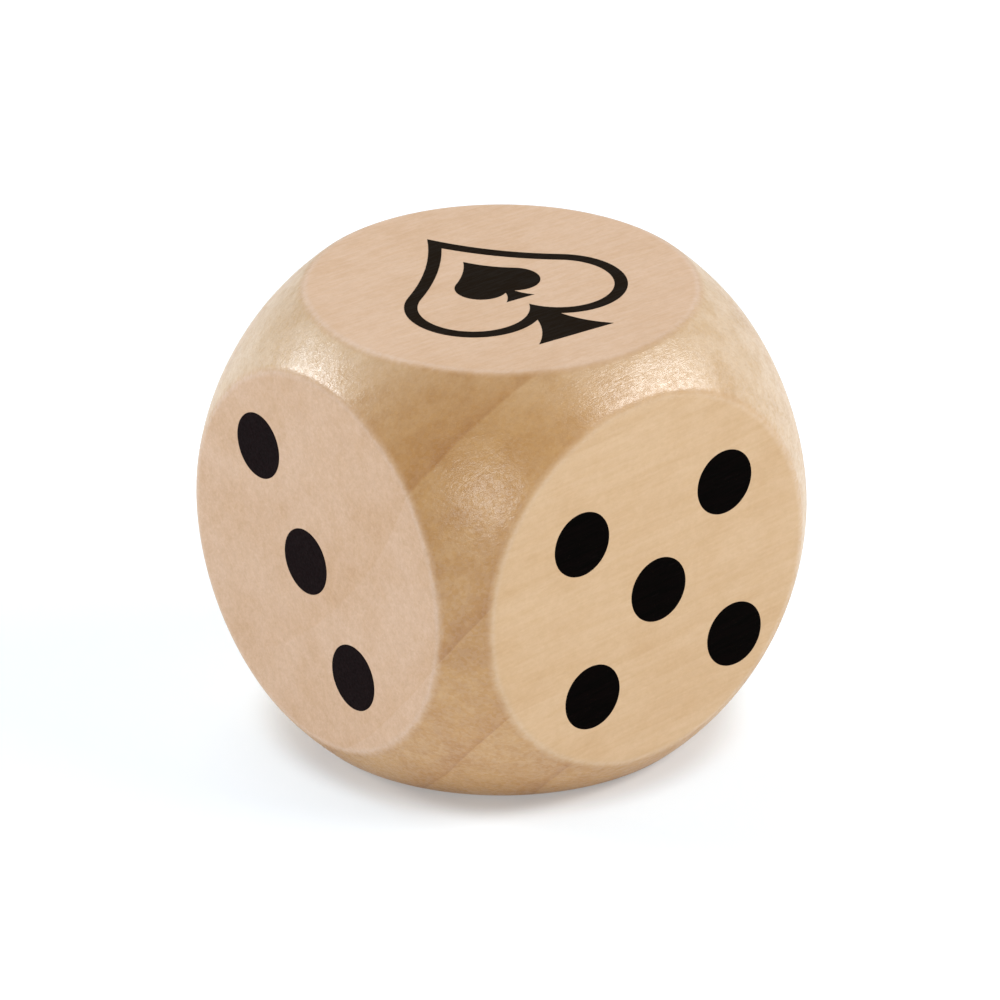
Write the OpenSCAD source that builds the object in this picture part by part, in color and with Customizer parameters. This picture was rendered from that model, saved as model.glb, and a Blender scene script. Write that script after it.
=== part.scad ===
// A wooden die. A cube is turned down to a ball, which leaves six round flats. Pips are printed on
// five of the flats, and an ace of spades on the sixth stands for the one.
// The origin is the middle of the bottom flat and +Z is up. +X shows the five, -Y the three, -X the
// two, +Y the four, -Z the six and +Z the ace, so opposite flats add up to seven.

/* [Block] */
// Distance between opposite flats
die_size = 30; // [24:1:60]
// How far the rim of a flat stands in from the edge of the plain cube
rim_inset = 2.47; // [1.5:0.01:4]

/* [Pips] */
// Bare wood between a corner pip and the rim of its flat, before the print is shifted
pip_margin = 2.35; // [1.6:0.05:4]
// Bare wood between neighbouring pips in a row of three
pip_gap = 1.25; // [0.8:0.05:2.4]
// How much further apart the pips stand across the print, and how much closer up it
pip_stretch = 1.023; // [0.95:0.001:1.05]
// How deep the ink soaks into the wood
ink_depth = 0.2; // [0.1:0.05:0.5]

/* [Ace] */
// Bare wood between the tip or foot of the bordering spade and the rim of its flat
ace_margin = 4; // [2:0.1:5]
// Width of the line that draws the bordering spade
ace_stroke = 0.9; // [0.4:0.05:1.3]
// Bare wood between the foot of the small spade and the border's line
ace_gap = 0.9; // [0.4:0.1:2]
// Bare wood between the tip of the small spade and the border's line
ace_tip_gap = 2.4; // [1:0.1:3]

/* [Print register] */
// Turn of the two on its flat, in degrees counter-clockwise
two_turn = 2.5; // [-10:0.1:10]
// Shift of the two, to the right and up
two_shift = [-0.4, 0.5]; // [-1.2:0.01:1.2]
// Turn of the three
three_turn = -8.6; // [-10:0.1:10]
// Shift of the three
three_shift = [-1, -0.33]; // [-1.2:0.01:1.2]
// Turn of the four
four_turn = -3; // [-10:0.1:10]
// Shift of the four
four_shift = [0.5, 0.3]; // [-1.2:0.01:1.2]
// Turn of the five
five_turn = 4.6; // [-10:0.1:10]
// Shift of the five
five_shift = [0.87, -0.93]; // [-1.2:0.01:1.2]
// Turn of the six
six_turn = 1.5; // [-10:0.1:10]
// Shift of the six
six_shift = [-0.3, -0.4]; // [-1.2:0.01:1.2]
// Turn of the ace
ace_turn = -4.3; // [-10:0.1:10]
// Shift of the ace
ace_shift = [0, 0]; // [-1.2:0.01:1.2]

/* [Hidden] */
$fn = 96;
// A cutter passes this far out through the flat that it cuts
cut_rise = 0.5;

half = die_size / 2;
flat_r = half - rim_inset;
ball_r = norm([half, flat_r]);

// Three pips in a row and the margin fill the flat along its diagonal:
// flat_r = pip_margin + pip_d / 2 + sqrt(2) * (pip_d + pip_gap)
pip_d = (flat_r - pip_margin - sqrt(2) * pip_gap) / (sqrt(2) + 0.5);
pip_step = (pip_d + pip_gap) * [pip_stretch, 1 / pip_stretch];

// Where a pip can stand, in steps to the right and up from the middle of the print
MIDDLE = [["middle", [0, 0]]];
DIAGONAL = [["upper_left", [-1, 1]], ["lower_right", [1, -1]]];
CORNERS = concat(DIAGONAL, [["upper_right", [1, 1]], ["lower_left", [-1, -1]]]);
SIDES = [["middle_left", [-1, 0]], ["middle_right", [1, 0]]];

// Each print: its name, the tilt that brings +Z to its flat, its turn, its shift and its pips
PRINTS = [
    ["two", [90, 0, 270], two_turn, two_shift, DIAGONAL],
    ["three", [90, 0, 0], three_turn, three_shift, concat(DIAGONAL, MIDDLE)],
    ["four", [90, 0, 180], four_turn, four_shift, CORNERS],
    ["five", [90, 0, 90], five_turn, five_shift, concat(CORNERS, MIDDLE)],
    ["six", [180, 0, 0], six_turn, six_shift, concat(CORNERS, SIDES)]
];
ACE = ["ace", [0, 0, 90], ace_turn, ace_shift];

// A spade, in shares of its height: the radius of its lobes and the middle of the right one, the
// radius of its hollow sides, half the width of its neck and of its foot, and how high the foot flares
lobe_r = 0.26;
lobe_at = [0.19, 0.4];
side_r = 1.2;
neck = 0.035;
foot = 0.17;
flare_h = 0.3;

// The middle of the right side's arc, which touches the lobe and runs into the tip at [0, 1]
to_tip = [0, 1] - lobe_at;
tip_far = norm(to_tip);
side_along = (tip_far ^ 2 + lobe_r ^ 2 + 2 * side_r * lobe_r) / (2 * tip_far);
side_across = sqrt((side_r + lobe_r) ^ 2 - side_along ^ 2);
side_at = lobe_at + (side_along * to_tip + side_across * [to_tip.y, -to_tip.x]) / tip_far;
// The flare's arc leaves the neck upright and meets the foot at its corner
flare_r = (flare_h ^ 2 + (foot - neck) ^ 2) / (2 * (foot - neck));

// The small spade stands in the border's leaf, between the notch over the neck and the tip
ace_h = 2 * (flat_r - ace_margin);
leaf_notch_y = ace_h * lobe_at.y - sqrt(max(0, (ace_h * lobe_r - ace_stroke) ^ 2 - (ace_h * lobe_at.x) ^ 2));
leaf_tip_y = ace_h * side_at.y - sqrt((ace_h * side_r + ace_stroke) ^ 2 - (ace_h * side_at.x) ^ 2);
spade_y = leaf_notch_y + ace_gap;
spade_h = leaf_tip_y - ace_tip_gap - spade_y;

function pip_name(print, pip) = str(print[0], "_pip_", pip[0]);

// Brings a shape that is drawn on the XY plane to the flat of a print
module on_flat(print) {
    translate([0, 0, half]) rotate(print[1]) translate([each print[3], half]) rotate(print[2])
        children();
}

// Ink fills the wood from the flat down, and a cutter for it rises past the flat
module inked(rise) {
    translate([0, 0, -ink_depth]) linear_extrude(ink_depth + rise) children();
}

module pip_ink(print, pip, rise = 0) {
    on_flat(print) inked(rise) translate([pip_step.x * pip[1].x, pip_step.y * pip[1].y]) circle(d = pip_d);
}

// The leaf of a spade of height h whose foot is on y = 0, grown evenly on all sides
module leaf(h, grow = 0) {
    for (side = [-1, 1]) translate(h * [side * lobe_at.x, lobe_at.y]) circle(h * lobe_r + grow);
    difference() {
        polygon(h * [[0, 1], side_at, lobe_at, [-lobe_at.x, lobe_at.y], [-side_at.x, side_at.y]]);
        for (side = [-1, 1]) translate(h * [side * side_at.x, side_at.y]) circle(h * side_r - grow);
    }
}

module stem(h) {
    difference() {
        translate(h * [-foot, 0]) square(h * [2 * foot, flare_h]);
        for (side = [-1, 1]) translate(h * [side * (neck + flare_r), flare_h]) circle(h * flare_r);
    }
    translate(h * [-neck, 0]) square(h * [2 * neck, lobe_at.y]);
}

module ace_border_ink(rise = 0) {
    on_flat(ACE) inked(rise) translate([0, -ace_h / 2]) difference() {
        union() {
            leaf(ace_h);
            stem(ace_h);
        }
        leaf(ace_h, -ace_stroke);
    }
}

module ace_spade_ink(rise = 0) {
    on_flat(ACE) inked(rise) translate([0, spade_y - ace_h / 2]) {
        leaf(spade_h);
        stem(spade_h);
    }
}

module wood_block() {
    color("burlywood") difference() {
        intersection() {
            translate([-half, -half, 0]) cube(die_size);
            translate([0, 0, half]) sphere(ball_r);
        }
        for (print = PRINTS, pip = print[4]) pip_ink(print, pip, cut_rise);
        ace_border_ink(cut_rise);
        ace_spade_ink(cut_rise);
    }
}

module pip(print, pip) {
    color([0.08, 0.06, 0.06]) pip_ink(print, pip);
}

module ace_border() {
    color([0.13, 0.1, 0.08]) ace_border_ink();
}

module ace_spade() {
    color([0.13, 0.1, 0.08]) ace_spade_ink();
}

wood_block();
for (print = PRINTS, pip = print[4])
    pip(print, pip);
ace_border();
ace_spade();
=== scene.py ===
# A wooden die: a block turned down to a ball and lacquered, with six sanded flats that carry printed pips
# and a printed ace.
import math

import bmesh
import bpy
import numpy as np
from mathutils import Matrix, Vector


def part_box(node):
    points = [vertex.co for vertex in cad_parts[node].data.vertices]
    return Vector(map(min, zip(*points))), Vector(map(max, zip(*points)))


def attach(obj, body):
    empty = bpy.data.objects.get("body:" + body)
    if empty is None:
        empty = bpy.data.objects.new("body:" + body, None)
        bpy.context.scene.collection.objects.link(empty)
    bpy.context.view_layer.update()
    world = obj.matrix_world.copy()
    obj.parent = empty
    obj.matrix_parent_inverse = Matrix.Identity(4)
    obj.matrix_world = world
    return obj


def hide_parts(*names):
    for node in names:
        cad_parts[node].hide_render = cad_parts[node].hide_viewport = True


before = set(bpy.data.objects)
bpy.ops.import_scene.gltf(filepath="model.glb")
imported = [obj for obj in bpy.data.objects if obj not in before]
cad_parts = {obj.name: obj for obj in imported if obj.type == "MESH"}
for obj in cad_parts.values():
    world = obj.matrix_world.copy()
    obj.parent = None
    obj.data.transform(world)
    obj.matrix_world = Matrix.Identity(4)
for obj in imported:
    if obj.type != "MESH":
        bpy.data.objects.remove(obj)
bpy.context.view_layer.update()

mm = 0.001
joinWithin = 1e-4 * mm     # points this close together are one point

# The die's size and middle, from the wood block that the frame holds
blockLow, blockHigh = (np.array(corner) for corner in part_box("wood_block"))
middle = (blockLow + blockHigh) / 2
half = float(blockHigh[2] - blockLow[2]) / 2

print("die: %.1f mm across" % (2 * half / mm))


camera = {
    "azimuth": 51.8, "elevation": 26.0, "distance": 0.9, "lens": 506.7, "sensor": 36,
    "shift": (-0.0012, -0.0017), "clip": (0.01, 20),
}


def towardsCamera(azimuth, elevation):
    # unit vector from the die to the camera; azimuth 0 stands on -Y and turns towards +X
    a, e = math.radians(azimuth), math.radians(elevation)
    return Vector((math.sin(a) * math.cos(e), -math.cos(a) * math.cos(e), math.sin(e)))


def makeCamera(cfg):
    data = bpy.data.cameras.new("camera")
    data.lens = cfg["lens"]
    data.sensor_width = cfg["sensor"]
    data.shift_x, data.shift_y = cfg["shift"]
    data.clip_start, data.clip_end = cfg["clip"]
    away = towardsCamera(cfg["azimuth"], cfg["elevation"])
    stand = bpy.data.objects.new("camera", data)
    stand.location = Vector(middle) + away * cfg["distance"]
    stand.rotation_euler = away.to_track_quat("Z", "Y").to_euler()
    bpy.context.collection.objects.link(stand)
    bpy.context.scene.camera = stand


makeCamera(camera)
print("camera: ready")


def meshPiece(name, points, faces, material, smooth=True):
    # puts an array of points, in metres, and lists of point numbers into a new object at the origin
    mesh = bpy.data.meshes.new(name)
    mesh.from_pydata(np.asarray(points).tolist(), [], [list(face) for face in faces])
    mesh.materials.append(material)
    mesh.polygons.foreach_set("use_smooth", np.full(len(mesh.polygons), smooth))
    mesh.update()
    piece = bpy.data.objects.new(name, mesh)
    bpy.context.collection.objects.link(piece)
    return piece


def gridQuads(rows, columns):
    # the four point numbers of every cell of a grid that is stored row by row
    start = np.arange(rows * columns).reshape(rows, columns)
    corners = (start[:-1, :-1], start[1:, :-1], start[1:, 1:], start[:-1, 1:])
    return np.stack(corners, -1).reshape(-1, 4)


block = {
    "rimInset": 2.47 * mm,     # from the plain cube's edge to the rim of a flat
    "rimWear": 0.42 * mm,      # how far the worn rim reaches to each side
    "inkRise": 0.012 * mm,     # how far the flats lie under the printed ink
    "flatRings": 28, "wearRings": 8, "roundRings": 12,
}


def blockSide(cfg):
    # One sixth of the die, seen along +Z. A square grid is bent so that its square rings become circles on
    # the flat: the points of ring k share one distance from the middle, and their angle runs evenly along
    # the ring. The flat is a disc, then a small curve wears off the rim, then the ball runs on to the
    # cube's edge.
    flatRadius = half - cfg["rimInset"]
    ball = math.hypot(half, flatRadius)
    level = half - cfg["inkRise"]
    rimAngle = math.asin(flatRadius / ball)
    wear = cfg["rimWear"]
    rings = cfg["flatRings"] + cfg["wearRings"] + cfg["roundRings"]

    i, j = np.meshgrid(np.arange(-rings, rings + 1), np.arange(-rings, rings + 1), indexing="ij")
    k = np.maximum(abs(i), abs(j))
    wide = abs(i) >= abs(j)
    run = np.where(wide, j, i) / np.maximum(k, 1) * np.where(wide, np.sign(i), np.sign(j))
    angle = np.where(wide, math.pi / 4 * run, math.pi / 2 - math.pi / 4 * run)
    angle = angle + np.where(np.where(wide, i, j) < 0, math.pi, 0)

    # flat: an even run of radii that ends where the wear starts
    flatPart = np.clip(k / cfg["flatRings"], 0, 1)
    radius = flatPart * (flatRadius - wear)
    height = np.full(k.shape, level)

    # wear: a curve from the flat to the ball that is pulled towards the sharp rim between them
    t = np.clip((k - cfg["flatRings"]) / cfg["wearRings"], 0, 1)
    endAngle = rimAngle + wear / ball
    ends = ((flatRadius - wear, level), (flatRadius, level),
            (ball * math.sin(endAngle), ball * math.cos(endAngle)))
    weights = ((1 - t) ** 2, 2 * t * (1 - t), t ** 2)
    worn = k > cfg["flatRings"]
    radius = np.where(worn, sum(w * end[0] for w, end in zip(weights, ends)), radius)
    height = np.where(worn, sum(w * end[1] for w, end in zip(weights, ends)), height)

    # ball: from the end of the wear to the cube's edge, which lies further off towards the corners
    turned = k > cfg["flatRings"] + cfg["wearRings"]
    edgeAngle = np.arctan(1 / np.maximum(abs(np.cos(angle)), abs(np.sin(angle))))
    share = (k - cfg["flatRings"] - cfg["wearRings"]) / cfg["roundRings"]
    polar = endAngle + (edgeAngle - endAngle) * share
    radius = np.where(turned, ball * np.sin(polar), radius)
    height = np.where(turned, ball * np.cos(polar), height)

    points = np.stack((radius * np.cos(angle), radius * np.sin(angle), height), -1).reshape(-1, 3)
    rimDistance = (np.where(turned, ball * (polar - rimAngle), radius - flatRadius) / mm).reshape(-1)
    return points, rimDistance, gridQuads(2 * rings + 1, 2 * rings + 1)


def makeBlock(cfg, material):
    # six turned copies of one side, whose shared edges are then merged into one closed skin
    side, rimDistance, quads = blockSide(cfg)
    x, y, z = side.T
    sides = [(x, y, z), (z, x, y), (y, z, x), (x, -y, -z), (-z, x, -y), (-y, -z, x)]
    points = np.concatenate([np.stack(parts, -1) for parts in sides])
    faces = np.concatenate([quads + n * len(side) for n in range(6)])
    rim = np.tile(rimDistance, 6)
    _, first, index = np.unique(np.round(points / joinWithin).astype(int), axis=0, return_index=True,
                                return_inverse=True)
    piece = meshPiece("woodBlock", points[first] + middle, index.reshape(-1)[faces], material)
    # how far each point lies outside the rim of its flat, in millimetres, for the finish
    attribute = piece.data.attributes.new("rimDistance", "FLOAT", "POINT")
    attribute.data.foreach_set("value", rim[first].astype(np.float32))
    return piece


def addNode(tree, kind, inputs=None, **settings):
    # adds a node, sets its properties, and links or sets its inputs by name or number
    made = tree.nodes.new(kind)
    for key, value in settings.items():
        setattr(made, key, value)
    for key, value in (inputs or {}).items():
        if isinstance(value, bpy.types.NodeSocket):
            tree.links.new(value, made.inputs[key])
        else:
            made.inputs[key].default_value = value
    return made


def calc(tree, operation, *values, clamp=False):
    made = addNode(tree, "ShaderNodeMath", dict(enumerate(values)), operation=operation, use_clamp=clamp)
    return made.outputs[0]


def calcVector(tree, operation, *values):
    made = addNode(tree, "ShaderNodeVectorMath", dict(enumerate(values)), operation=operation)
    return made.outputs["Value" if operation in ("DOT_PRODUCT", "LENGTH") else "Vector"]


def spread(tree, value, low, high, toLow=0.0, toHigh=1.0, kind="SMOOTHSTEP"):
    # runs a value from low..high onto toLow..toHigh and holds it at the ends
    ends = {"Value": value, "From Min": low, "From Max": high, "To Min": toLow, "To Max": toHigh}
    return addNode(tree, "ShaderNodeMapRange", ends, interpolation_type=kind).outputs["Result"]


def noise(tree, vector, scale, detail=2.0, rough=0.5):
    inputs = {"Vector": vector, "Scale": scale, "Detail": detail, "Roughness": rough}
    return addNode(tree, "ShaderNodeTexNoise", inputs).outputs["Fac"]


def blend(tree, share, first, second, kind="MIX"):
    made = tree.nodes.new("ShaderNodeMix")
    made.data_type = "RGBA"
    made.blend_type = kind
    for key, value in ((0, share), (6, first), (7, second)):
        if isinstance(value, bpy.types.NodeSocket):
            tree.links.new(value, made.inputs[key])
        else:
            made.inputs[key].default_value = value
    return made.outputs[2]


def newGroup(name, inputs, outputs):
    # a shader node group; inputs and outputs give each socket's kind
    tree = bpy.data.node_groups.new(name, "ShaderNodeTree")
    for side, sockets in (("INPUT", inputs), ("OUTPUT", outputs)):
        for label, kind in sockets.items():
            tree.interface.new_socket(name=label, in_out=side, socket_type="NodeSocket" + kind)
    return tree, tree.nodes.new("NodeGroupInput"), tree.nodes.new("NodeGroupOutput")


def colour(red, green, blue):
    # a shader colour from the 0..255 values of a paint chip
    chip = np.array([red, green, blue]) / 255
    linear = np.where(chip <= 0.04045, chip / 12.92, ((chip + 0.055) / 1.055) ** 2.4)
    return (*linear.tolist(), 1.0)


timber = {
    "ringNormal": (0.684, 0.073, -0.726),   # across the growth rings
    "fibre": (0.0, 0.995, 0.100),           # along the grain, so -Y and +Y show end grain
    "rays": (0.0, 0.0, 1.0),                # flats that cut the wood's rays are a little pinker
    "pith": 32.0,                           # mm from the die's middle back to the pith, the middle of the tree
    "shadeSide": (0.72, -0.55, -0.25),      # the side where the lacquer is deeper in colour and shade is painted on it; away from it a painted sheen makes the lacquer pale
    # mm towards that side between which the lacquer turns from the painted sheen to the deeper colour with
    # painted shade, and between which the rings fade in
    "heartRange": (2.0, 13.0), "ringFade": (3.0, 11.0),
    # rings grow narrower outwards: their count is ((depth - start) / wide) ** power - phase
    "ringStart": -2.28, "ringWide": 11.45, "ringPower": 2.0, "ringPhase": 0.157,
    "ringWander": 0.3, "wanderCells": (0.16, 0.05),     # mm by which they stray to each side, and how often
    "lateWood": (0.93, 0.985),              # shares of a ring's width between which its late wood darkens
    "bandPower": 4.0,                       # how late in the year the wood begins to darken
    # noise masks: cells per mm across and along the fibre, detail, roughness, and the range run onto 0..1
    "masks": {
        "Streak": (0.85, 0.045, 5.0, 0.60, 0.38, 0.68),
        "Fine": (4.20, 0.320, 3.0, 0.65, 0.35, 0.70),
        "Blotch": (0.22, 0.220, 3.0, 0.55, 0.42, 0.66),
        "Stain": (0.75, 0.450, 4.0, 0.60, 0.40, 0.64),
        "Mottle": (1.90, 1.400, 3.0, 0.75, 0.34, 0.66),
        "Speckle": (6.00, 4.400, 3.0, 0.66, 0.22, 0.78),
    },
    # random cells: cells per mm across and along the fibre, and the range run onto 0..1
    "poreCells": (3.1, 0.42), "poreRange": (0.20, 0.05),
    "fleckCells": (5.0, 3.4), "fleckRange": (0.15, 0.95),
    # how squarely a surface cuts the fibre and the rays, run onto 0..1
    "endRange": (0.55, 0.97), "rayRange": (0.55, 0.90),
}


def makeWoodFigure(cfg):
    # One piece of timber for every material that shows it. A point is read in millimetres across the rings,
    # along the fibre and across both. Rings are circles round the pith, pores and flecks are random cells,
    # and the other masks are noise that may be drawn out along the fibre. End and Rays are how squarely a
    # surface cuts the fibre and the rays.
    names = ["Ring", "Band", "Pores", "Flecks", "End", "Rays", "SheenToShade"] + list(cfg["masks"])
    inputs = {"Vector": "Vector", "Normal": "Vector"}
    tree, start, end = newGroup("woodFigure", inputs, {name: "Float" for name in names})
    across = Vector(cfg["ringNormal"]).normalized()
    along = Vector(cfg["fibre"])
    along = (along - across * along.dot(across)).normalized()
    third = across.cross(along)
    place = calcVector(tree, "SUBTRACT", start.outputs["Vector"], tuple(middle))
    axes = [calc(tree, "MULTIPLY", calcVector(tree, "DOT_PRODUCT", place, tuple(axis)), 1 / mm)
            for axis in (across, along, third)]
    grain = addNode(tree, "ShaderNodeCombineXYZ", dict(enumerate(axes))).outputs[0]

    def drawnOut(acrossScale, alongScale):
        return calcVector(tree, "MULTIPLY", grain, (acrossScale, alongScale, acrossScale))

    # the side of the round-over where shade is painted into the lacquer; away from it a sheen is painted in
    shadeSide = tuple(Vector(cfg["shadeSide"]).normalized())
    heart = calc(tree, "MULTIPLY", calcVector(tree, "DOT_PRODUCT", place, shadeSide), 1 / mm)
    tree.links.new(spread(tree, heart, *cfg["heartRange"]), end.inputs["SheenToShade"])

    # rings: the distance from the pith, made a little uneven
    outwards = calc(tree, "ADD", axes[0], cfg["pith"])
    fromPith = addNode(tree, "ShaderNodeCombineXYZ", {0: outwards, 2: axes[2]})
    depth = calc(tree, "SUBTRACT", calcVector(tree, "LENGTH", fromPith.outputs[0]), cfg["pith"])
    wander = calc(tree, "SUBTRACT", noise(tree, drawnOut(*cfg["wanderCells"]), 1.0), 0.5)
    depth = calc(tree, "MULTIPLY_ADD", wander, cfg["ringWander"] * 2, depth)
    grown = calc(tree, "DIVIDE", calc(tree, "SUBTRACT", depth, cfg["ringStart"]), cfg["ringWide"])
    turns = calc(tree, "POWER", calc(tree, "MAXIMUM", grown, 0.0), cfg["ringPower"])
    season = calc(tree, "FRACT", calc(tree, "SUBTRACT", turns, cfg["ringPhase"]))
    newYear = calc(tree, "MULTIPLY", spread(tree, season, 1.0, cfg["lateWood"][1]),
                   spread(tree, heart, *cfg["ringFade"]))
    late = calc(tree, "MULTIPLY", spread(tree, season, *cfg["lateWood"]), newYear)
    tree.links.new(late, end.inputs["Ring"])
    band = calc(tree, "MULTIPLY", calc(tree, "POWER", season, cfg["bandPower"]), newYear)
    tree.links.new(band, end.inputs["Band"])

    for name, (acrossScale, alongScale, detail, rough, low, high) in cfg["masks"].items():
        mask = noise(tree, drawnOut(acrossScale, alongScale), 1.0, detail, rough)
        tree.links.new(spread(tree, mask, low, high), end.inputs[name])
    cells = addNode(tree, "ShaderNodeTexVoronoi", {"Vector": drawnOut(*cfg["poreCells"]), "Scale": 1.0})
    tree.links.new(spread(tree, cells.outputs["Distance"], *cfg["poreRange"]), end.inputs["Pores"])
    cells = addNode(tree, "ShaderNodeTexVoronoi", {"Vector": drawnOut(*cfg["fleckCells"]), "Scale": 1.0})
    draw = addNode(tree, "ShaderNodeSeparateColor", {0: cells.outputs["Color"]}).outputs[0]
    tree.links.new(spread(tree, draw, *cfg["fleckRange"]), end.inputs["Flecks"])
    rays = Vector(cfg["rays"]).normalized()
    for name, axis, limits in (("End", along, "endRange"), ("Rays", rays, "rayRange")):
        cut = calc(tree, "ABSOLUTE", calcVector(tree, "DOT_PRODUCT", start.outputs["Normal"], tuple(axis)))
        tree.links.new(spread(tree, cut, *cfg[limits]), end.inputs[name])
    return tree


def placeWoodFigure(tree, figure):
    spot = addNode(tree, "ShaderNodeTexCoord")
    group = addNode(tree, "ShaderNodeGroup", node_tree=figure)
    tree.links.new(spot.outputs["Object"], group.inputs["Vector"])
    tree.links.new(spot.outputs["Normal"], group.inputs["Normal"])
    return group.outputs


def newMaterial(name):
    made = bpy.data.materials.new(name)
    made.use_nodes = True
    tree = made.node_tree
    return made, tree, tree.nodes["Principled BSDF"]


wood = {
    "sanded": colour(211, 179, 142), "rayed": colour(218, 186, 157), "endGrain": colour(216, 184, 157),
    # the pale lacquer paints a sheen on the upper round-over; the deep lacquer also paints shade low on its
    # front
    "lacquered": colour(197, 152, 94), "lacquerPaleSheen": colour(219, 191, 157),
    "lacquerFrom": -0.15, "lacquerTo": 0.50,      # mm outside the rim between which the lacquer sets in
    "rimWander": 0.08,                            # mm by which that line strays
    "coatFrom": -0.42, "coatTo": 0.05,            # the same for its shine, which covers the worn rim
    "bumpFrom": 0.0, "bumpTo": 1.3,               # the same for its raised fibre, which the rim has lost
    "coatGrazing": (0.40, 0.90, 1.0, 0.45),       # how the shine weakens on surfaces seen edge-on
    "coatFlecked": 0.50,                          # share of the shine that the raised fibre takes away
    # each mask of the wood: how much it shows on flats, on end grain and under the lacquer, and its tint
    "tints": {
        "Ring": (0.06, 0.00, 0.35, (0.84, 0.74, 0.60, 1)),
        "Band": (0.10, 0.30, 0.75, (0.85, 0.74, 0.56, 1)),
        "Streak": (0.55, 0.20, 0.30, (0.94, 0.91, 0.86, 1)),
        "Fine": (0.45, 0.25, 0.35, (0.94, 0.91, 0.86, 1)),
        "Pores": (0.06, 0.12, 0.10, (0.80, 0.70, 0.60, 1)),
        "Mottle": (0.45, 0.75, 0.60, (0.91, 0.88, 0.84, 1)),
        "Speckle": (0.40, 0.90, 0.65, (0.90, 0.88, 0.85, 1)),
        "Blotch": (0.30, 0.45, 0.60, (0.90, 0.84, 0.74, 1)),
        "Stain": (0.10, 0.25, 0.80, (0.90, 0.84, 0.72, 1)),
    },
    # a darker line along the rim of each flat: its tint, its share, and mm at which it starts, peaks and
    # ends
    "rimDark": (0.90, 0.78, 0.58, 1), "rimDarkShare": 0.35, "rimDarkSpan": (-0.15, 0.15, 0.7),
    "sandedRough": 0.60, "lacquerRough": 0.50, "roughSpread": 0.25, "specular": 0.3,
    "coatRough": 0.29, "coatIor": 1.7,
    "sandedBump": 0.08, "lacquerBump": 0.24, "fineBump": 0.15, "bumpDepth": 0.036 * mm,
}


def makeWood(cfg, figure):
    # Sanded flats and a lacquered round-over, told apart by the distance from the rim. The lacquer
    # deepens the wood and brings out its blotches, and the fibre that it raised breaks up its shine.
    material, tree, shader = newMaterial("dieWood")
    grown = placeWoodFigure(tree, figure)
    rim = addNode(tree, "ShaderNodeAttribute", attribute_name="rimDistance").outputs["Fac"]
    stray = calc(tree, "SUBTRACT", grown["Blotch"], 0.5)
    rim = calc(tree, "MULTIPLY_ADD", stray, cfg["rimWander"], rim)
    lacquer = spread(tree, rim, cfg["lacquerFrom"], cfg["lacquerTo"])

    tone = blend(tree, grown["Rays"], cfg["sanded"], cfg["rayed"])
    tone = blend(tree, grown["End"], tone, cfg["endGrain"])
    # painted light: the lacquer is pale with a painted sheen up top and deep with painted shade low on the
    # front
    deep = blend(tree, grown["SheenToShade"], cfg["lacquerPaleSheen"], cfg["lacquered"])
    tone = blend(tree, lacquer, tone, deep)
    for mask, (onFlat, onEndGrain, onLacquer, tint) in cfg["tints"].items():
        bare = spread(tree, grown["End"], 0, 1, onFlat, onEndGrain, "LINEAR")
        share = spread(tree, lacquer, 0, 1, bare, onLacquer, "LINEAR")
        tone = blend(tree, calc(tree, "MULTIPLY", grown[mask], share), tone, tint, "MULTIPLY")

    # a line along the rim of each flat is a little darker
    near, deepest, far = cfg["rimDarkSpan"]
    rimLine = calc(tree, "MULTIPLY", spread(tree, rim, near, deepest), spread(tree, rim, far, deepest))
    rimLine = calc(tree, "MULTIPLY", rimLine, cfg["rimDarkShare"])
    tone = blend(tree, rimLine, tone, cfg["rimDark"], "MULTIPLY")
    tree.links.new(tone, shader.inputs["Base Color"])

    rough = spread(tree, lacquer, 0, 1, cfg["sandedRough"], cfg["lacquerRough"], "LINEAR")
    uneven = calc(tree, "SUBTRACT", grown["Fine"], 0.5)
    rough = calc(tree, "MULTIPLY_ADD", uneven, cfg["roughSpread"], rough)
    tree.links.new(rough, shader.inputs["Roughness"])
    shader.inputs["Specular IOR Level"].default_value = cfg["specular"]
    # the shine covers the worn rim, is broken up by the raised fibre and weakens where it is seen edge-on
    coat = spread(tree, rim, cfg["coatFrom"], cfg["coatTo"])
    flecked = spread(tree, grown["Flecks"], 0, 1, 1, 1 - cfg["coatFlecked"], "LINEAR")
    facing = addNode(tree, "ShaderNodeLayerWeight").outputs["Facing"]
    kept = calc(tree, "MULTIPLY", flecked, spread(tree, facing, *cfg["coatGrazing"]))
    coat = calc(tree, "MULTIPLY", coat, kept)
    tree.links.new(coat, shader.inputs["Coat Weight"])
    shader.inputs["Coat Roughness"].default_value = cfg["coatRough"]
    shader.inputs["Coat IOR"].default_value = cfg["coatIor"]

    # the surface: fine fibre everywhere, and raised speckles under the lacquer
    amount = spread(tree, rim, cfg["bumpFrom"], cfg["bumpTo"], cfg["sandedBump"], cfg["lacquerBump"])
    fibre = calc(tree, "MULTIPLY", grown["Fine"], cfg["fineBump"])
    height = calc(tree, "MULTIPLY_ADD", grown["Speckle"], amount, fibre)
    bump = addNode(tree, "ShaderNodeBump", {"Height": height, "Distance": cfg["bumpDepth"]})
    tree.links.new(bump.outputs[0], shader.inputs["Normal"])
    tree.links.new(bump.outputs[0], shader.inputs["Coat Normal"])
    return material


figure = makeWoodFigure(timber)
dieWood = makeWood(wood, figure)
woodBlock = makeBlock(block, dieWood)
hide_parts("wood_block")
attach(woodBlock, "root")
print("wood block: %d faces" % len(woodBlock.data.polygons))


pipInk = {"deep": colour(2, 1, 0), "thin": colour(32, 22, 23), "rough": 0.6, "specular": 0.012}
markInk = {"deep": colour(25, 17, 8), "thin": colour(44, 34, 24), "rough": 0.7, "specular": 0.02}
# how far the open pores, the fine fibre and end grain with its speckles thin the ink
inkWear = {
    "open": 0.15, "fine": 0.15, "endGrain": 0.55, "speckled": 0.5,
    "roughSpread": 0.3, "bumpDepth": 0.01 * mm,
}


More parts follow.
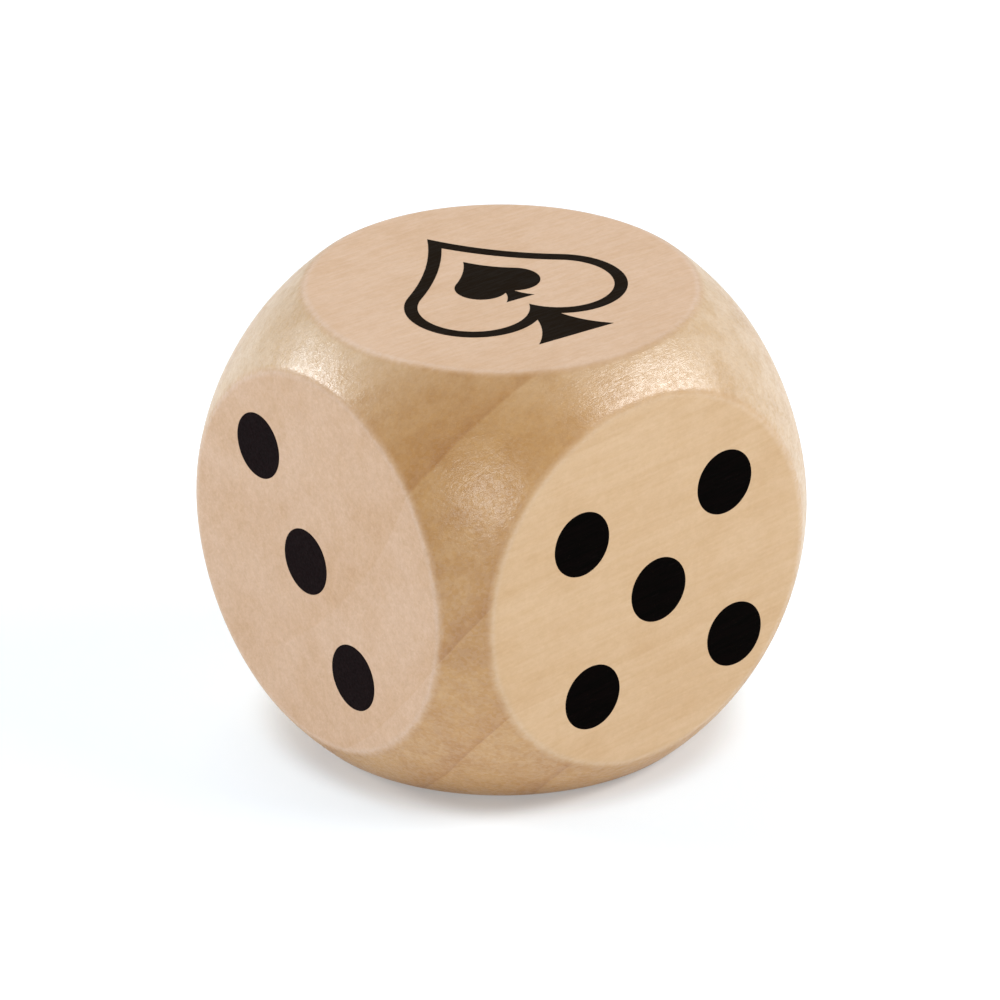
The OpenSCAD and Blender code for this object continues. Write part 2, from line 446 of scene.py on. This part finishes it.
def makeInk(name, cfg, wear, figure):
    # ink that lies thinner on end grain, on raised fibre and in the pores, so the wood shows through
    material, tree, shader = newMaterial(name)
    grown = placeWoodFigure(tree, figure)
    pores = calc(tree, "MULTIPLY", grown["Pores"], wear["open"])
    thin = calc(tree, "MULTIPLY_ADD", grown["Fine"], wear["fine"], pores)
    drunk = calc(tree, "MULTIPLY", grown["End"], wear["endGrain"])
    speckled = calc(tree, "MULTIPLY", drunk, calc(tree, "ADD", grown["Speckle"], wear["speckled"]))
    thin = calc(tree, "ADD", thin, speckled, clamp=True)
    tree.links.new(blend(tree, thin, cfg["deep"], cfg["thin"]), shader.inputs["Base Color"])
    uneven = calc(tree, "SUBTRACT", grown["Fine"], 0.5)
    rough = calc(tree, "MULTIPLY_ADD", uneven, wear["roughSpread"], cfg["rough"])
    tree.links.new(rough, shader.inputs["Roughness"])
    shader.inputs["Specular IOR Level"].default_value = cfg["specular"]
    bump = addNode(tree, "ShaderNodeBump", {"Height": grown["Fine"], "Distance": wear["bumpDepth"]})
    tree.links.new(bump.outputs[0], shader.inputs["Normal"])
    return material


pip = {
    "segments": 96, "sink": 0.05 * mm,
    "edge": 0.05 * mm,       # how wide the printed edge is rounded off
    # the rounding: how far in from the outline, in edges, and how far under the middle
    "rounding": ((3, 0), (1, 0.001 * mm), (0.3, 0.004 * mm)),
    # waves round the outline, their size as a share of the radius for a single wave, and their seed
    "waves": (2, 5, 11), "wobble": 0.006, "seed": 11,
}


def pipFrame(node):
    # the middle of a pip on its flat, two directions in the flat and the one that points out of it
    low, high = (np.array(corner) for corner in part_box(node))
    axis = int(np.argmin(high - low))
    side = 1.0 if (low[axis] + high[axis]) / 2 > middle[axis] else -1.0
    centre = (low + high) / 2
    centre[axis] = high[axis] if side > 0 else low[axis]
    out = np.zeros(3)
    out[axis] = side
    right = np.roll(np.array([1.0, 0.0, 0.0]), (axis + 1) % 3)
    return centre, right, np.cross(out, right), out, float(np.max(high - low)) / 2


def makePip(node, cfg, material, chance):
    # A profile carried round a circle: flat on top, rounded down at the edge, and closed underneath in
    # the wood. Three small waves make the outline a little uneven, as printed ink is.
    centre, right, up, out, radius = pipFrame(node)
    rounding = [(radius - inwards * cfg["edge"], -under) for inwards, under in cfg["rounding"]]
    profile = np.array(rounding + [(radius, -block["inkRise"]), (radius, -cfg["sink"])])
    angle = np.arange(cfg["segments"]) * 2 * math.pi / cfg["segments"]
    waves = [(count, chance.uniform(0.3, 1) * cfg["wobble"] / count, chance.uniform(0, 2 * math.pi))
             for count in cfg["waves"]]
    outline = 1 + sum(size * np.cos(count * angle + phase) for count, size, phase in waves)
    reach = profile[:, :1] * outline[None, :]
    tall = np.repeat(profile[:, 1:], len(angle), 1)
    ring = (reach * np.cos(angle))[..., None] * right + (reach * np.sin(angle))[..., None] * up
    ring = ring + tall[..., None] * out + centre
    points = np.concatenate([ring.reshape(-1, 3), [centre, centre - cfg["sink"] * out]])
    rows, count = ring.shape[:2]
    here, after = np.arange(count), np.roll(np.arange(count), -1)
    walls = [np.stack([row * count + after, row * count + here, (row + 1) * count + here,
                       (row + 1) * count + after], -1) for row in range(rows - 1)]
    top, foot = rows * count, rows * count + 1
    last = (rows - 1) * count
    caps = [np.stack([np.full(count, top), here, after], -1),
            np.stack([np.full(count, foot), last + after, last + here], -1)]
    faces = [face for part in walls + caps for face in part.tolist()]
    return meshPiece(node + "_ink", points, faces, material)


# the printed ace: how wide its edge is rounded off, in how many steps, and how level its top is
mark = {"edge": 0.025 * mm, "steps": 2, "level": 0.01 * mm}


def makeMark(node, cfg, material):
    # the node's upper face alone, drawn down into the wood as one closed skin and rounded at its edge
    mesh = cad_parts[node].data.copy()
    mesh.name = node + "_ink"
    shape = bmesh.new()
    shape.from_mesh(mesh)
    bmesh.ops.remove_doubles(shape, verts=shape.verts, dist=joinWithin)
    heights = [corner.co.z for corner in shape.verts]
    top, depth = max(heights), max(heights) - min(heights)

    def onTop(part):
        return all(corner.co.z > top - cfg["level"] for corner in part.verts)

    bmesh.ops.delete(shape, geom=[face for face in shape.faces if not onTop(face)], context="FACES")
    bmesh.ops.dissolve_limit(shape, angle_limit=math.radians(1), verts=shape.verts, edges=shape.edges)
    copied = bmesh.ops.extrude_face_region(shape, geom=shape.faces[:])["geom"]
    lower = [part for part in copied if isinstance(part, bmesh.types.BMVert)]
    bmesh.ops.translate(shape, verts=lower, vec=(0, 0, -depth))
    bmesh.ops.recalc_face_normals(shape, faces=shape.faces)
    rim = [line for line in shape.edges if onTop(line) and line.calc_face_angle(0) > 1]
    bmesh.ops.bevel(shape, geom=rim, offset=cfg["edge"], segments=cfg["steps"], affect="EDGES",
                    clamp_overlap=True)
    shape.to_mesh(mesh)
    shape.free()
    mesh.materials.clear()
    mesh.materials.append(material)
    piece = bpy.data.objects.new(node + "_ink", mesh)
    bpy.context.collection.objects.link(piece)
    return piece


pipBlack = makeInk("pipInk", pipInk, inkWear, figure)
markBlack = makeInk("markInk", markInk, inkWear, figure)
chance = np.random.default_rng(pip["seed"])
pipNodes = sorted(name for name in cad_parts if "_pip_" in name)
markNodes = sorted(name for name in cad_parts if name.startswith("ace_"))
for node in pipNodes:
    piece = makePip(node, pip, pipBlack, chance)
    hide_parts(node)
    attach(piece, "root")
for node in markNodes:
    piece = makeMark(node, mark, markBlack)
    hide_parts(node)
    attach(piece, "root")
print("ink: %d pips, %d parts of the ace" % (len(pipNodes), len(markNodes)))


floor = {
    "size": 3.0, "tone": (0.72, 0.73, 0.745, 1), "rough": 0.7, "glowTone": (0.88, 1.0, 1.08, 1),
    # how far from the die's axis the shade under the ball ends, and the floor's glow in it and beyond it
    "shadeFrom": 13.5 * mm, "shadeTo": 16.5 * mm, "shadeGlow": 0.17, "glow": 0.41,
}
# each light: the way to it, its distance, the way its long side runs, its two sides, its power and tone
lights = {
    "overhead": {"towards": (-0.52, 0.05, 0.85), "distance": 0.9, "along": (0.33, 0.42, 0),
                 "size": (0.6, 0.6), "power": 1.3, "tone": (0.93, 1.0, 1.10)},
    "left": {"towards": (-0.72, -0.55, 0.43), "distance": 0.5, "along": (-0.43, 0.25, -0.10),
             "size": (0.24, 0.105), "power": 0.9, "tone": (0.97, 1.0, 1.03)},
    "right": {"towards": (0.52, 0.605, 0.605), "distance": 0.5, "along": (0.42, -0.84, 0.33),
              "size": (0.42, 0.11), "power": 1.4, "tone": (1, 1, 1)},
    "front": {"towards": (0.66, -0.61, 0.43), "distance": 0.8, "along": (0, 0, 1), "size": (0.085, 0.085),
              "power": 1.0, "tone": (1, 1, 1)},
    "back": {"towards": (-0.70, 0.56, 0.44), "distance": 0.9, "along": (0.56, 0.70, 0), "size": (0.9, 0.4),
             "power": 0.8, "tone": (0.93, 1.0, 1.08)},
}
sky = {"horizon": 0.56, "zenith": 0.35, "span": (0.3, 0.9)}     # span: sines of the elevations between them


def makeFloor(cfg):
    # a matt floor whose own glow keeps the die's shadow light and cancels the warm light off the wood;
    # close round the die the glow is weaker, which keeps the shade under the ball
    material, tree, shader = newMaterial("floor")
    shader.inputs["Base Color"].default_value = cfg["tone"]
    shader.inputs["Roughness"].default_value = cfg["rough"]
    shader.inputs["Specular IOR Level"].default_value = 0.0
    shader.inputs["Emission Color"].default_value = cfg["glowTone"]
    spot = addNode(tree, "ShaderNodeTexCoord").outputs["Object"]
    away = calcVector(tree, "LENGTH", calcVector(tree, "SUBTRACT", spot, (middle[0], middle[1], 0)))
    glow = spread(tree, away, cfg["shadeFrom"], cfg["shadeTo"], cfg["shadeGlow"], cfg["glow"])
    tree.links.new(glow, shader.inputs["Emission Strength"])
    reach = cfg["size"] / 2
    corners = [(-reach, -reach, 0), (reach, -reach, 0), (reach, reach, 0), (-reach, reach, 0)]
    piece = meshPiece("floor", corners, [(0, 1, 2, 3)], material, smooth=False)


def makeLight(name, cfg):
    # an area light that faces the die's middle
    data = bpy.data.lights.new(name, "AREA")
    data.shape = "RECTANGLE"
    data.size, data.size_y = cfg["size"]
    data.energy = cfg["power"]
    data.color = cfg["tone"]
    towards = Vector(cfg["towards"]).normalized()
    across = towards.cross(Vector(cfg["along"])).normalized()
    lamp = bpy.data.objects.new(name, data)
    lamp.location = Vector(middle) + towards * cfg["distance"]
    lamp.rotation_euler = Matrix((across.cross(towards), across, towards)).transposed().to_euler()
    bpy.context.collection.objects.link(lamp)


def makeSky(cfg):
    # a white room: brightest round the horizon and darker towards the ceiling
    world = bpy.data.worlds.new("sky")
    world.use_nodes = True
    tree = world.node_tree
    way = addNode(tree, "ShaderNodeTexCoord").outputs["Generated"]
    rise = addNode(tree, "ShaderNodeSeparateXYZ", {0: way}).outputs["Z"]
    strength = spread(tree, rise, *cfg["span"], cfg["horizon"], cfg["zenith"])
    background = tree.nodes["Background"]
    background.inputs["Color"].default_value = (1, 1, 1, 1)
    tree.links.new(strength, background.inputs["Strength"])
    bpy.context.scene.world = world


makeFloor(floor)
for name, cfg in lights.items():
    makeLight(name, cfg)
makeSky(sky)
bpy.context.scene.view_settings.view_transform = "Standard"
print("floor and light: ready")
